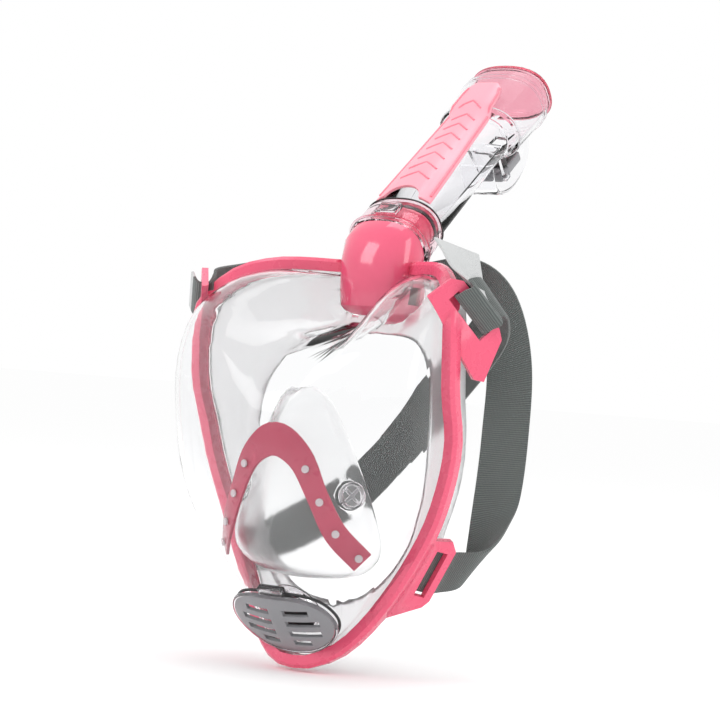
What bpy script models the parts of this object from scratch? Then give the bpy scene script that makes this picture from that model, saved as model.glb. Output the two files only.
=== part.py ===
"""Full face snorkel: a wide clear visor in a rigid frame, with a soft face skirt, a nose and
mouth pocket, a chin drain valve, an elbow, and a snorkel with a float-closed dry top.

Metres, +Z up towards the forehead, -Y the way the wearer looks, +X the wearer's left.
The origin is the middle of the face opening, where a head holds the mask.
"""

import math

import bmesh
import bpy
import numpy as np
from mathutils import Matrix, Vector

MM = 0.001
GAP = 0.3 * MM

# Right half of the frame's outer edge, from the forehead round to the chin.
FRAME_EDGE = [
    (0, 60, 125), (24, 52, 125), (46, 38, 125), (61, 25, 123), (75, 12, 117), (85, 2, 107),
    (92, -6, 95), (95, -9, 80), (95.5, -6, 45), (94, 4, 18), (88, 9, -10), (76, 12, -42),
    (56, 8, -80), (35, 0, -109), (17, -8, -122), (0, -10, -125),
]
FRAME_STEPS = 72
FRAME_WALL = 8 * MM
FRAME_DEPTH = 10.5 * MM
FRAME_CHAMFER = 2.2 * MM

LENS_WALL = 2.2 * MM
LENS_RIM_INSET = FRAME_WALL + 0.6 * MM
LENS_FRONT = -64 * MM
LENS_CENTRE_Z = 14 * MM
LENS_SQUARENESS = 5.0
# The hollow in the visor's top that the elbow stands in.
ALCOVE_START = 56 * MM
ALCOVE_RISE = 34 * MM
ALCOVE_HALF_WIDTH = 36 * MM

SKIRT_WALL = 1.8 * MM
FACE_HALF_WIDTH = 60 * MM
FACE_TOP = 80 * MM
FACE_BOTTOM = -84 * MM

STRAP_WIDTH = 29 * MM
STRAP_THICKNESS = 1.8 * MM
LUG_THICKNESS = 4 * MM
SLOT_LENGTH = 31 * MM
SLOT_WIDTH = 8 * MM

VALVE_CENTRE = Vector((0, -17, -90)) * MM
VALVE_AXIS = Vector((0, -0.755, -0.656)).normalized()
VALVE_RADIUS = 17 * MM

TUBE_BASE = Vector((0, 78, 150.5)) * MM
TUBE_AXIS = Vector((0, 0.779, 0.627)).normalized()
TUBE_FRONT = Vector((0, -TUBE_AXIS.z, TUBE_AXIS.y))
TUBE_WALL = 1.8 * MM

ELBOW_WALL = 2.4 * MM


def empty_scene():
    for old in list(bpy.data.objects):
        bpy.data.objects.remove(old)


def new_collection(name, hidden=False):
    collection = bpy.data.collections.new(name)
    bpy.context.scene.collection.children.link(collection)
    collection.hide_render = hidden
    return collection


empty_scene()
PARTS = new_collection("full_face_snorkel")
CUTTERS = new_collection("cutters", hidden=True)


def finish(name, colour, roughness, alpha=1.0):
    material = bpy.data.materials.new(name)
    material.use_nodes = True
    shader = material.node_tree.nodes["Principled BSDF"]
    shader.inputs["Base Color"].default_value = (*colour, 1)
    shader.inputs["Roughness"].default_value = roughness
    shader.inputs["Alpha"].default_value = alpha
    return material


ROSE = (0.78, 0.09, 0.19)
CLEAR = (0.90, 0.92, 0.93)
GREY = (0.26, 0.26, 0.27)
BLACK = (0.02, 0.02, 0.02)
WEBBING = (0.10, 0.12, 0.11)


def make_object(name, mesh, colour, roughness=0.3, alpha=1.0):
    part = bpy.data.objects.new(name, mesh)
    PARTS.objects.link(part)
    mesh.materials.append(finish(name, colour, roughness, alpha))
    mesh.shade_smooth()
    mesh.set_sharp_from_angle(angle=math.radians(35))
    return part


def make_cutter(name, mesh):
    cutter = bpy.data.objects.new(name, mesh)
    CUTTERS.objects.link(cutter)
    cutter.hide_render = True
    cutter.display_type = "WIRE"
    return cutter


def mesh_from(name, fill):
    """A mesh whose bmesh the function fill builds, with its faces turned outwards."""
    shape = bmesh.new()
    fill(shape)
    bmesh.ops.recalc_face_normals(shape, faces=shape.faces)
    mesh = bpy.data.meshes.new(name)
    shape.to_mesh(mesh)
    shape.free()
    return mesh


def boolean(part, operation, other):
    modifier = part.modifiers.new(operation.lower(), "BOOLEAN")
    modifier.operation = operation
    modifier.object = other


def solidify(part, thickness, offset=-1.0):
    wall = part.modifiers.new("wall", "SOLIDIFY")
    wall.thickness = thickness
    wall.offset = offset
    wall.use_even_offset = False


def join_rings(shape, rings, closed_path=False, caps=True):
    """Faces between each ring of points and the next. The rings have one length."""
    corners = [[shape.verts.new(point) for point in ring] for ring in rings]
    count = len(corners[0])
    pairs = list(zip(corners, corners[1:]))
    if closed_path:
        pairs.append((corners[-1], corners[0]))
    for low, high in pairs:
        for k in range(count):
            following = (k + 1) % count
            shape.faces.new((low[k], low[following], high[following], high[k]))
    if caps and not closed_path:
        shape.faces.new(corners[0][::-1])
        shape.faces.new(corners[-1])


def smooth_path(points, steps, cyclic=False):
    """Points on a Catmull-Rom curve through the given ones, steps to each stretch."""
    given = np.array(points, float)
    count = len(given)
    if cyclic:
        padded = np.vstack([given[-1:], given, given[:2]])
        stretches = count
    else:
        first = 2 * given[0] - given[1]
        last = 2 * given[-1] - given[-2]
        padded = np.vstack([first, given, last])
        stretches = count - 1
    path = []
    for k in range(stretches):
        a, b, c, d = padded[k : k + 4]
        for step in range(steps):
            t = step / steps
            cubic = 3 * (b - c) + d - a
            square = 2 * a - 5 * b + 4 * c - d
            path.append(b + 0.5 * t * (c - a + t * (square + t * cubic)))
    if not cyclic:
        path.append(given[-1])
    return np.array(path)


def even_loop(points, count):
    """The closed path as count points at even spacing."""
    closed = np.vstack([points, points[:1]])
    lengths = np.linalg.norm(np.diff(closed, axis=0), axis=1)
    along = np.concatenate([[0], np.cumsum(lengths)])
    wanted = np.arange(count) / count * along[-1]
    return np.stack([np.interp(wanted, along, closed[:, k]) for k in range(3)], axis=1)


def frame_edge():
    right = FRAME_EDGE
    left = [(-x, y, z) for x, y, z in FRAME_EDGE[-2:0:-1]]
    loop = smooth_path(right + left, 12, cyclic=True) * MM
    return even_loop(loop, FRAME_STEPS)


def outward(loop):
    """Unit vectors in the X-Z plane that point out of the loop."""
    along = np.roll(loop, -1, axis=0) - np.roll(loop, 1, axis=0)
    normals = np.stack([-along[:, 2], np.zeros(len(loop)), along[:, 0]], axis=1)
    normals /= np.linalg.norm(normals, axis=1, keepdims=True)
    centre = np.array([0, 0, LENS_CENTRE_Z])
    flip = np.sum(normals * (loop - centre), axis=1) < 0
    normals[flip] *= -1
    return normals


EDGE = frame_edge()
EDGE_OUT = outward(EDGE)


def ellipse_ring(centre, across, up, half_width, half_depth, count=32, power=2.4):
    """A rounded ring of points around centre, in the plane of across and up."""
    ring = []
    for k in range(count):
        turn = 2 * math.pi * k / count
        c = math.cos(turn)
        s = math.sin(turn)
        a = math.copysign(abs(c) ** (2 / power), c) * half_width
        b = math.copysign(abs(s) ** (2 / power), s) * half_depth
        ring.append(centre + across * a + up * b)
    return ring


X = Vector((1, 0, 0))
Y = Vector((0, 1, 0))
Z = Vector((0, 0, 1))


def tube_ring(along, half_width, half_depth, lift=0.0, count=32):
    centre = TUBE_BASE + TUBE_AXIS * along + TUBE_FRONT * lift
    return ellipse_ring(centre, X, TUBE_FRONT, half_width, half_depth, count)


# ---- frame ------------------------------------------------------------------------------


def frame_section(point, out):
    """The frame's chamfered bar at one place on its edge."""
    forward = np.array([0, -1, 0])
    half = FRAME_DEPTH / 2
    c = FRAME_CHAMFER
    w = FRAME_WALL
    corners = [(0, half - c), (-c, half), (-w, half), (-w, -half), (-c, -half), (0, c - half)]
    return [Vector(point + out * a + forward * b) for a, b in corners]


def frame_bar(shape):
    join_rings(shape, [frame_section(p, n) for p, n in zip(EDGE, EDGE_OUT)], closed_path=True)


def lug_basis(centre, slot_axis, out_axis):
    along = Vector(slot_axis).normalized()
    outwards = Vector(out_axis)
    outwards = (outwards - along * outwards.dot(along)).normalized()
    return Vector(centre) * MM, along, outwards, along.cross(outwards)


def plate(shape, basis, outline, thickness):
    """A flat plate: the outline is in millimetres along the slot and outwards."""
    centre, along, outwards, face = basis
    layers = []
    for side in (-0.5, 0.5):
        layer = [
            centre + along * a * MM + outwards * b * MM + face * side * thickness
            for a, b in outline
        ]
        layers.append(layer)
    join_rings(shape, layers)


UPPER_LUG = ((95.6, -0.7, 91.9), (0.41, 0.56, -0.72), (0.465, 0.55, 0.69))
LOWER_LUG = ((68, 24, -62), (-0.46, 0, -0.89), (0.38, 0.90, -0.20))
UPPER_OUTLINE = [(-25, -13), (31, -21), (36, -17), (24, 7), (18, 10), (-18, 10), (-24, 5)]
LOWER_OUTLINE = [(-20, -16), (33, -26), (38, -20), (22, 6), (17, 9), (-18, 9), (-24, 3)]


def ribbon_rings(stations, width, thickness, steps=6):
    """Sections of a flat band through stations of a place and the way its width lies."""
    path = smooth_path([place for place, _ in stations], steps) * MM
    wide = smooth_path([tuple(Vector(way).normalized()) for _, way in stations], steps)
    rings = []
    for k, place in enumerate(path):
        ahead = Vector(path[min(k + 1, len(path) - 1)] - path[max(k - 1, 0)]).normalized()
        across = Vector(wide[k]).normalized()
        half = across * width / 2
        thick = ahead.cross(across).normalized() * thickness / 2
        middle = Vector(place)
        rings.append([
            middle - half - thick, middle + half - thick, middle + half + thick, middle - half + thick,
        ])
    return rings


def lug_stations(lug, side, path):
    """Stations given as distances outwards and forwards from a lug's slot, in millimetres."""
    centre, along, outwards, face = lug_basis(*lug)
    if face.y > 0:
        face = -face
    stations = []
    for out, front in path:
        place = (centre + (outwards * out + face * front) * MM) / MM
        stations.append(((place.x * side, place.y, place.z), (along.x * side, along.y, along.z)))
    return stations


FOLD = (
    (12, 7.4), (5.5, 5.6), (2.4, 3.4), (1.4, 0), (2.6, -3.2), (6, -5), (11, -6.5), (16, -8.5),
)
ANCHOR = ((18, -8), (10, -5), (3, -3.6), (-5, -3.6))


def side_of(values, side):
    return tuple((x * side, y, z) for x, y, z in values)


def make_frame():
    frame = make_object("frame", mesh_from("frame", frame_bar), ROSE, 0.25)
    for level, lug, outline in (
        ("upper", UPPER_LUG, UPPER_OUTLINE),
        ("lower", LOWER_LUG, LOWER_OUTLINE),
    ):
        for side, word in ((1, "left"), (-1, "right")):
            basis = lug_basis(*side_of(lug, side))
            name = f"{level}_{word}_lug"
            mesh = mesh_from(name, lambda s: plate(s, basis, outline, LUG_THICKNESS))
            boolean(frame, "UNION", make_cutter(name, mesh))
    for lug, level in ((UPPER_LUG, "upper"), (LOWER_LUG, "lower")):
        for side, word in ((1, "left"), (-1, "right")):
            basis = lug_basis(*side_of(lug, side))
            half = SLOT_LENGTH / MM / 2
            wide = SLOT_WIDTH / MM / 2
            slot = [(-half, -wide), (half, -wide), (half, wide), (-half, wide)]
            name = f"{level}_{word}_slot"
            mesh = mesh_from(name, lambda s: plate(s, basis, slot, 3 * LUG_THICKNESS))
            boolean(frame, "DIFFERENCE", make_cutter(name, mesh))
    for side, word in ((1, "left"), (-1, "right")):
        rings = ribbon_rings(lug_stations(UPPER_LUG, side, FOLD[5:]), STRAP_WIDTH + 2 * MM, 3.6 * MM, 3)
        passage = mesh_from("strap_passage", lambda s: join_rings(s, rings))
        boolean(frame, "DIFFERENCE", make_cutter(f"{word}_strap_passage", passage))
    room = mesh_from("visor_room", visor_room)
    boolean(frame, "DIFFERENCE", make_cutter("visor_room", room))
    return frame


# ---- lens -------------------------------------------------------------------------------


def lens_front(x, z):
    """Where the visor's front lies: full at the nose, falling back to forehead and chin."""
    high = max(0.0, z - 45 * MM) / (60 * MM)
    low = max(0.0, 5 * MM - z) / (110 * MM)
    side = x / (90 * MM)
    rise = min(1.0, max(0.0, (z - ALCOVE_START) / ALCOVE_RISE))
    alcove = math.exp(-((x / ALCOVE_HALF_WIDTH) ** 4)) * rise * rise * (3 - 2 * rise)
    front = LENS_FRONT + (38 * high**2 + 67 * low**2.4 + 12 * side**2 + 80 * alcove) * MM
    return min(front, 56 * MM if z > 0 else -16 * MM)


def dome_rings(rim, front, centre_z, squareness, layers, shrink=0.0):
    """Rings of points from a rim forward to a nearly flat front, ending at one middle point."""
    rings = []
    for k in range(layers):
        turn = math.pi / 2 * k / layers
        inward = math.cos(turn) ** (2 / squareness)
        forward = math.sin(turn) ** (2 / squareness)
        ring = []
        for x, y, z in rim:
            px = x * inward
            pz = centre_z + (z - centre_z) * inward
            py = y * (1 - forward) + (front(px, pz) + shrink) * forward
            ring.append(Vector((px, py, pz)))
        rings.append(ring)
    return rings, Vector((0, front(0, centre_z) + shrink, centre_z))


def dome(shape, rings, middle):
    join_rings(shape, rings, caps=False)
    shape.verts.ensure_lookup_table()
    count = len(rings[0])
    last = shape.verts[-count:]
    tip = shape.verts.new(middle)
    for k in range(count):
        shape.faces.new((last[k], last[(k + 1) % count], tip))


def visor_room(shape):
    """The space inside the frame that the lens and the skirt's rim fill."""
    loop = EDGE - EDGE_OUT * (FRAME_WALL + 0.2 * MM)
    rings = []
    for step, scale in ((-60, 0.05), (-60, 1), (60, 1), (60, 0.05)):
        middle = LENS_CENTRE_Z
        ring = [Vector((x * scale, y + step * MM, middle + (z - middle) * scale)) for x, y, z in loop]
        rings.append(ring)
    join_rings(shape, rings)


def lens_rim():
    rim = EDGE - EDGE_OUT * LENS_RIM_INSET
    rim[:, 1] += FRAME_DEPTH / 2 - 2 * MM
    return rim


def make_lens():
    rings, middle = dome_rings(lens_rim(), lens_front, LENS_CENTRE_Z, LENS_SQUARENESS, 11)
    mesh = mesh_from("lens", lambda s: dome(s, rings, middle))
    lens = make_object("lens", mesh, CLEAR, 0.05, 0.3)
    solidify(lens, LENS_WALL)
    return lens


# ---- skirt and pocket -------------------------------------------------------------------


def face_loop(scale=1.0, back=0.0):
    """The rounded face opening, one point for each point of the frame's edge."""
    loop = []
    for x, _, z in EDGE:
        turn = math.atan2(z - LENS_CENTRE_Z, x)
        c = math.cos(turn)
        s = math.sin(turn)
        power = 2 / 3.0
        tall = FACE_TOP - LENS_CENTRE_Z if s > 0 else LENS_CENTRE_Z - FACE_BOTTOM
        narrow = 1.0 if s > 0 else 1.0 - 0.30 * s * s
        px = math.copysign(abs(c) ** power, c) * FACE_HALF_WIDTH * narrow * scale
        pz = LENS_CENTRE_Z + math.copysign(abs(s) ** power, s) * tall * scale
        forehead = 24 * MM * min(1.0, max(0.0, (pz - 30 * MM) / (50 * MM))) ** 2
        loop.append(Vector((px, back + forehead, pz)))
    return loop


def make_skirt():
    """A flange behind the lens rim, a wall that rolls back, and a lip that meets the face."""
    rim = lens_rim()
    rim[:, 1] += 3.2 * MM
    outer = [Vector(p) for p in rim]
    rolled = [p + Vector((0, 16 * MM, 0)) for p in outer]
    lip = face_loop(1.22, 30 * MM)
    opening = face_loop(1.0, 22 * MM)
    shoulder = [a.lerp(b, 0.45) + Vector((0, 6 * MM, 0)) for a, b in zip(rolled, lip)]
    rings = [outer, rolled, shoulder, lip, opening]
    mesh = mesh_from("face_skirt", lambda s: join_rings(s, rings, caps=False))
    skirt = make_object("face_skirt", mesh, CLEAR, 0.4, 0.6)
    solidify(skirt, SKIRT_WALL, 0.0)
    return skirt


def pocket_loop(count=40):
    """The nose and mouth pocket's back edge: narrow at the nose, wide over the mouth."""
    half = [
        (0, -20, 46), (15, -18, 40), (26, -13, 20), (37, -8, -5),
        (48, -4, -35), (50, -2, -54), (34, 0, -67),
    ]
    right = half + [(0, 0, -71)]
    left = [(-x, y, z) for x, y, z in half[:0:-1]]
    return even_loop(smooth_path(right + left, 8, cyclic=True) * MM, count)


POCKET_CENTRE_Z = -34 * MM


def pocket_front(x, z):
    nose = math.exp(-((x / (24 * MM)) ** 2))
    high = max(0.0, z + 20 * MM) / (60 * MM)
    low = max(0.0, -50 * MM - z) / (30 * MM)
    return (-30 - 16 * nose + 5 * high**2 + 9 * low**2) * MM


def make_pocket():
    rings, middle = dome_rings(pocket_loop(), pocket_front, POCKET_CENTRE_Z, 2.8, 7)
    mesh = mesh_from("nose_pocket", lambda s: dome(s, rings, middle))
    pocket = make_object("nose_pocket", mesh, CLEAR, 0.4, 0.6)
    solidify(pocket, SKIRT_WALL)
    return pocket


# ---- nose plate and its studs -----------------------------------------------------------

PLATE_PATH = [(49, -22, -56), (38, -36, -40), (28, -43, -19), (17, -47, 2), (0, -49, 12)]
PLATE_HALF_WIDTHS = [7, 7, 6.5, 8, 10]
PLATE_THICKNESS = 2 * MM
STUD_PLACES = (0.12, 1.05, 1.85, 2.75)


def plate_line():
    left = [(-x, y, z) for x, y, z in PLATE_PATH[-2::-1]]
    return smooth_path(PLATE_PATH + left, 6) * MM


def plate_widths():
    given = [(w, 0, 0) for w in PLATE_HALF_WIDTHS + PLATE_HALF_WIDTHS[-2::-1]]
    return smooth_path(given, 6)[:, 0] * MM


def line_frame(line, k):
    """Direction along the plate, the direction across it, and the way its face looks."""
    ahead = Vector(line[min(k + 1, len(line) - 1)] - line[max(k - 1, 0)]).normalized()
    face = Vector((line[k][0] * 0.8, -0.06, 0)).normalized()
    face = (face - ahead * face.dot(ahead)).normalized()
    return ahead, face.cross(ahead), face


def plate_bar(shape):
    line = plate_line()
    rings = []
    for k, width in enumerate(plate_widths()):
        _, across, face = line_frame(line, k)
        middle = Vector(line[k])
        half = face * PLATE_THICKNESS / 2
        side = across * width
        rings.append([middle - side - half, middle + side - half, middle + side + half, middle - side + half])
    join_rings(shape, rings)


def axis_matrix(place, axis):
    return Matrix.Translation(place) @ Vector(axis).to_track_quat("Z", "Y").to_matrix().to_4x4()


def disc(shape, place, axis, radius, length, segments=24, top_radius=None):
    """A round bar from place along axis."""
    middle = Vector(place) + Vector(axis).normalized() * length / 2
    bmesh.ops.create_cone(
        shape, cap_ends=True, segments=segments, radius1=radius,
        radius2=radius if top_radius is None else top_radius, depth=length,
        matrix=axis_matrix(middle, axis),
    )


def make_disc(name, place, axis, radius, length, colour, roughness=0.4, alpha=1.0, segments=24):
    mesh = mesh_from(name, lambda s: disc(s, place, axis, radius, length, segments))
    return make_object(name, mesh, colour, roughness, alpha)


def make_nose_plate():
    make_object("nose_plate", mesh_from("nose_plate", plate_bar), ROSE, 0.3)
    line = plate_line()
    for number, place in enumerate(STUD_PLACES, 1):
        for side, word in ((1, "left"), (-1, "right")):
            k = round(place * 6)
            k = k if side > 0 else len(line) - 1 - k
            _, _, face = line_frame(line, k)
            start = Vector(line[k]) + face * (PLATE_THICKNESS / 2 + GAP)
            make_disc(f"plate_stud_{word}_{number}", start, face, 2.4 * MM, 1.6 * MM, CLEAR, 0.1, 0.5, 12)


# ---- round valves -----------------------------------------------------------------------


def spoked_ring(name, place, axis, radius, wall, depth, colour, alpha):
    """A ring with a hub and four spokes, as one body."""
    axis = Vector(axis).normalized()
    basis = axis_matrix(place, axis)

    def fill(shape):
        turns = [2 * math.pi * k / 32 for k in range(32)]
        outline = [(radius, 0), (radius, depth), (radius - wall, depth), (radius - wall, 0)]
        rings = [
            [basis @ Vector((r * math.cos(t), r * math.sin(t), h)) for r, h in outline]
            for t in turns
        ]
        join_rings(shape, rings, closed_path=True)

    ring = make_object(name, mesh_from(name, fill), colour, 0.3, alpha)
    for number, turn in enumerate((math.pi / 4, 3 * math.pi / 4)):
        bar_mesh = mesh_from(name, lambda s: bmesh.ops.create_cube(s, size=1.0))
        size = Matrix.Diagonal((2 * radius - wall, wall, depth * 0.4, 1))
        spin = Matrix.Rotation(turn, 4, "Z")
        bar_mesh.transform(basis @ Matrix.Translation((0, 0, depth * 0.3)) @ spin @ size)
        boolean(ring, "UNION", make_cutter(f"{name}_spoke_{number}", bar_mesh))
    return ring


INHALE_PLACE = Vector((40, -24, -18)) * MM
INHALE_AXIS = Vector((0.80, -0.60, 0.10)).normalized()
INHALE_RADIUS = 8 * MM


def make_inhale_valves(pocket):
    for side, word in ((1, "left"), (-1, "right")):
        place = Vector((INHALE_PLACE.x * side, INHALE_PLACE.y, INHALE_PLACE.z))
        axis = Vector((INHALE_AXIS.x * side, INHALE_AXIS.y, INHALE_AXIS.z))
        back = place - axis * 12 * MM
        hole = mesh_from(f"inhale_{word}", lambda s: disc(s, back, axis, INHALE_RADIUS + GAP, 24 * MM))
        boolean(pocket, "DIFFERENCE", make_cutter(f"inhale_{word}_hole", hole))
        seat = place - axis * 2 * MM
        spoked_ring(f"inhale_seat_{word}", seat, axis, INHALE_RADIUS, 1.8 * MM, 4 * MM, CLEAR, 0.6)
        start = place - axis * (2 * MM + GAP)
        make_disc(f"inhale_membrane_{word}", start, -axis, INHALE_RADIUS - 1 * MM, 0.6 * MM, CLEAR, 0.4, 0.6)


# ---- chin drain -------------------------------------------------------------------------

CHIN_UP = Vector((0, VALVE_AXIS.z, -VALVE_AXIS.y))
GRILLE_OUTLINE = [
    (0, 22), (16, 21), (29, 15), (35, 3), (31, -8), (18, -17), (0, -20),
    (-18, -17), (-31, -8), (-35, 3), (-29, 15), (-16, 21),
]
GRILLE_THICKNESS = 2.4 * MM
GRILLE_STAND = 6.6 * MM
GRILLE_CROWN = 7 * MM


def chin_point(x, up, out):
    return VALVE_CENTRE + X * x + CHIN_UP * up + VALVE_AXIS * out


def grille_crown(x, up):
    return GRILLE_STAND + GRILLE_CROWN * (1 - (x / (38 * MM)) ** 2 - 0.4 * (up / (26 * MM)) ** 2)


def grille_shell(shape):
    """Two crowned sheets, front and back, that follow the outline at three sizes."""
    outline = smooth_path([(x, z, 0) for x, z in GRILLE_OUTLINE], 3, cyclic=True)
    rings = []
    sizes = (0.08, 0.35, 0.6, 0.82, 1.0)
    for scale, out in [(a, 0) for a in sizes] + [(a, GRILLE_THICKNESS) for a in sizes[::-1]]:
        ring = []
        for x, up, _ in outline:
            px = x * scale * MM
            pz = up * scale * MM
            ring.append(chin_point(px, pz, grille_crown(px, pz) + out))
        rings.append(ring)
    join_rings(shape, rings)


def make_chin_drain(lens):
    behind = VALVE_CENTRE - VALVE_AXIS * 30 * MM
    hole = mesh_from("drain", lambda s: disc(s, behind, VALVE_AXIS, VALVE_RADIUS + GAP, 60 * MM, 40))
    boolean(lens, "DIFFERENCE", make_cutter("drain_hole", hole))
    seat = VALVE_CENTRE - VALVE_AXIS * 5 * MM
    spoked_ring("drain_seat", seat, VALVE_AXIS, VALVE_RADIUS, 2.5 * MM, 7 * MM, CLEAR, 0.6)
    start = VALVE_CENTRE + VALVE_AXIS * (2 * MM + GAP)
    make_disc("drain_membrane", start, VALVE_AXIS, VALVE_RADIUS - 1.5 * MM, 0.8 * MM, BLACK, 0.5, 1.0, 32)
    grille = make_object("chin_grille", mesh_from("chin_grille", grille_shell), GREY, 0.35)
    for row, (up, inner, outer) in enumerate(((12, 5, 22), (4, 5, 27), (-4, 5, 26), (-11.5, 5, 17))):
        for side, word in ((1, "left"), (-1, "right")):
            slot = mesh_from("slot", lambda s: bmesh.ops.create_cube(s, size=1.0))
            middle = chin_point(side * (inner + outer) / 2 * MM, up * MM, 12 * MM)
            size = Matrix.Diagonal(((outer - inner) * MM, 4.2 * MM, 30 * MM, 1))
            turn = Matrix((X, CHIN_UP, VALVE_AXIS)).transposed().to_4x4()
            slot.transform(Matrix.Translation(middle) @ turn @ size)
            boolean(grille, "DIFFERENCE", make_cutter(f"grille_slot_{word}_{row}", slot))
    tab = mesh_from("grille_latch", lambda s: bmesh.ops.create_cube(s, size=1.0))
    top = chin_point(0, 25.6 * MM, grille_crown(0, 22 * MM) - 1 * MM)
    turn = Matrix((X, CHIN_UP, VALVE_AXIS)).transposed().to_4x4()
    tab.transform(Matrix.Translation(top) @ turn @ Matrix.Diagonal((18 * MM, 6 * MM, 5 * MM, 1)))
    make_object("grille_latch", tab, CLEAR, 0.1, 0.5)


# ---- elbow ------------------------------------------------------------------------------


def elbow_rings(grow=0.0):
    """Sections of the elbow from its lower end up to the shoulder under the socket."""
    tilts = (0, 0, 0, 0, 12, 32, 51)
    places = (
        (0, 60, 86.5), (0, 58.5, 89), (0, 57, 96), (0, 57, 108), (0, 56, 121), (0, 56, 130),
        (0, 58.7, 135),
    )
    sizes = ((17, 14), (21, 19), (24.5, 24), (25.5, 25.5), (26, 24.5), (26, 22), (26, 19.5))
    rings = []
    for tilt, place, (half_width, half_depth) in zip(tilts, places, sizes):
        turn = math.radians(tilt)
        forward = Vector((0, -math.cos(turn), math.sin(turn)))
        centre = Vector(place) * MM
        rings.append(ellipse_ring(centre, X, forward, half_width * MM + grow, half_depth * MM + grow))
    return rings


SPIGOT_HALF_WIDTH = 22 * MM
SPIGOT_HALF_DEPTH = 15 * MM


def spigot_rings():
    w = SPIGOT_HALF_WIDTH
    d = SPIGOT_HALF_DEPTH
    steps = ((-23.5, 0, 0), (-4, 0, 0), (-3.8, -1.6, -1.6), (-1, -1.6, -1.6), (-0.8, 0, 0), (1.6, 0, 0))
    return [tube_ring(s * MM, w + a * MM, d + b * MM) for s, a, b in steps]


def make_elbow(neighbours):
    rings = elbow_rings() + spigot_rings()
    outer = mesh_from("elbow", lambda s: join_rings(s, rings))
    elbow = make_object("elbow", outer, ROSE, 0.2)
    inner_rings = elbow_rings(-ELBOW_WALL)[1:6]
    inner_rings[0] = [p + Z * 1.5 * MM for p in inner_rings[0]]
    inner_rings += [
        tube_ring(s * MM, SPIGOT_HALF_WIDTH - 3.6 * MM, SPIGOT_HALF_DEPTH - 3.6 * MM) for s in (-25, 6)
    ]
    bore = mesh_from("elbow_bore", lambda s: join_rings(s, inner_rings))
    boolean(elbow, "DIFFERENCE", make_cutter("elbow_bore", bore))
    ports = mesh_from("elbow_ports", lambda s: bmesh.ops.create_cube(s, size=1.0))
    size = Matrix.Diagonal((80 * MM, 12 * MM, 12 * MM, 1))
    ports.transform(Matrix.Translation(Vector((0, 55, 105)) * MM) @ size)
    boolean(elbow, "DIFFERENCE", make_cutter("elbow_ports", ports))
    envelope_rings = elbow_rings(GAP)
    envelope = mesh_from("elbow_room", lambda s: join_rings(s, envelope_rings))
    room = make_cutter("elbow_room", envelope)
    for part in neighbours:
        boolean(part, "DIFFERENCE", room)


def tube_shell(name, steps, wall, colour, alpha, roughness=0.08, additions=()):
    """A tube along the snorkel's axis. Each step is its place, half width and half depth.

    The additions are blocks joined to its outside before it is bored.
    """
    outer = [tube_ring(s * MM, w * MM, d * MM) for s, w, d in steps]
    low = steps[0]
    high = steps[-1]
    inner_steps = [(low[0] + shift, *low[1:]) for shift in (-5, 0.4)] + list(steps[1:-1])
    inner_steps += [(high[0] + shift, *high[1:]) for shift in (-0.4, 5)]
    inner = [tube_ring(s * MM, w * MM - wall, d * MM - wall) for s, w, d in inner_steps]
    part = make_object(name, mesh_from(name, lambda s: join_rings(s, outer)), colour, roughness, alpha)
    for number, block in enumerate(additions):
        boolean(part, "UNION", make_cutter(f"{name}_block_{number}", block))
    bore = mesh_from(f"{name}_bore", lambda s: join_rings(s, inner))
    boolean(part, "DIFFERENCE", make_cutter(f"{name}_bore", bore))
    return part


def make_oring():
    """A rubber ring that sits in the spigot's groove."""
    inside = SPIGOT_HALF_WIDTH - 1.6 * MM + GAP
    deep = SPIGOT_HALF_DEPTH - 1.6 * MM + GAP
    rings = []
    for along, grow in ((-3.4, 0), (-3.4, 1.8), (-1.4, 1.8), (-1.4, 0)):
        rings.append(tube_ring(along * MM, inside + grow * MM, deep + grow * MM))
    mesh = mesh_from("spigot_seal", lambda s: join_rings(s, rings, closed_path=True))
    make_object("spigot_seal", mesh, BLACK, 0.5)


# ---- snorkel ----------------------------------------------------------------------------

BUTTON_ALONG = -11
PIN_ALONG = 111
SOCKET_STEPS = ((-24, 27, 20), (-21, 27.5, 20.5), (-4, 27, 20), (2, 26, 19))
TUBE_STEPS = ((2.3, 24.5, 17.5), (50, 24, 17), (106, 23.5, 17))
TOP_STEPS = ((106.3, 24, 17.5), (111, 29, 20), (150, 31, 22), (162, 29, 21))
CAP_STEPS = ((162.3, 29, 21), (167, 28, 20), (171, 22, 16), (173, 12, 9))


def tube_block(name, middle, size):
    """A box square to the snorkel: its middle and size are across, along and forwards."""
    block = mesh_from(name, lambda s: bmesh.ops.create_cube(s, size=1.0))
    turn = Matrix((X, TUBE_AXIS, TUBE_FRONT)).transposed().to_4x4()
    scale = Matrix.Diagonal((*(Vector(size) * MM), 1))
    block.transform(Matrix.Translation(along_point(*middle)) @ turn @ scale)
    return block


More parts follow.
